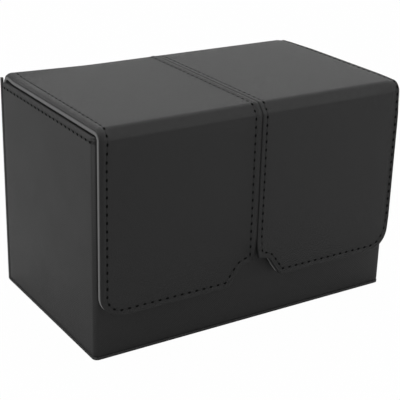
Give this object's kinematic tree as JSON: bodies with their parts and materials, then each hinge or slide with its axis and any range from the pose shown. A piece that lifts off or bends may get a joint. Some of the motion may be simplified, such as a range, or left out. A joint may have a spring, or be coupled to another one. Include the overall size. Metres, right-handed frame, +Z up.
{
  "type": "playing card box with drawer",
  "caption": "Leatherette storage box for two decks of sleeved cards, with two hinged lids that fold over the front and a drawer that slides out of the right end.",
  "frame": {"origin": "on the floor plane, under the middle of the whole box with its flaps and pull tab", "axes": "+Z up, +X along the width toward the drawer's open end, front with the flaps toward -Y"},
  "size_m": [0.178, 0.1044, 0.1124],
  "materials": {
    "leatherette": "matte embossed leatherette, dark grey",
    "lining": "soft microfibre, mid grey",
    "board": "dark grey fibreboard",
    "magnet": "plated disc magnet"
  },
  "bodies": {
    "case": {"base_panel": "leatherette", "back_panel": "leatherette", "body_skin": "leatherette", "divider_cap": "leatherette", "left_hinge_cover": "leatherette", "right_hinge_cover": "leatherette", "left_room_lining": "lining", "right_room_lining": "lining", "left_floor_pad": "lining", "right_floor_pad": "lining", "left_hinge_lining": "lining", "right_hinge_lining": "lining", "front_wall_board": "board", "rear_wall_board": "board", "left_wall_board": "board", "right_wall_board": "board", "divider_board": "board", "shelf_board": "board", "bay_floor_board": "board", "drawer_stop_strip": "board", "bay_magnet": "magnet", "left_wall_magnets": "magnet", "right_wall_magnets": "magnet"},
    "left_lid": {"left_lid_cover": "leatherette", "left_lid_lining": "lining", "left_lid_top_board": "board", "left_lid_flap_board": "board", "left_lid_magnets": "magnet"},
    "right_lid": {"right_lid_cover": "leatherette", "right_lid_lining": "lining", "right_lid_top_board": "board", "right_lid_flap_board": "board", "right_lid_magnets": "magnet"},
    "drawer": {"drawer_face_skin": "leatherette", "drawer_pull_tab": "leatherette", "drawer_lining": "lining", "drawer_bottom_board": "board", "drawer_front_side": "board", "drawer_rear_side": "board", "drawer_end_board": "board", "drawer_face_board": "board", "drawer_divider": "board", "drawer_magnet": "magnet"}
  },
  "joints": [
    {"name": "left_lid_hinge", "type": "hinge", "parent": "case", "child": "left_lid", "pos_m": [0, 0.04947, 0.10967], "axis": [-1, 0, 0], "range_deg": [0, 170], "deforming": ["left_hinge_cover", "left_hinge_lining"]},
    {"name": "right_lid_hinge", "type": "hinge", "parent": "case", "child": "right_lid", "pos_m": [0, 0.04947, 0.10967], "axis": [-1, 0, 0], "range_deg": [0, 170], "deforming": ["right_hinge_cover", "right_hinge_lining"]},
    {"name": "drawer_slide", "type": "slide", "parent": "case", "child": "drawer", "axis": [1, 0, 0], "range_m": [0, 0.12]}
  ]
}
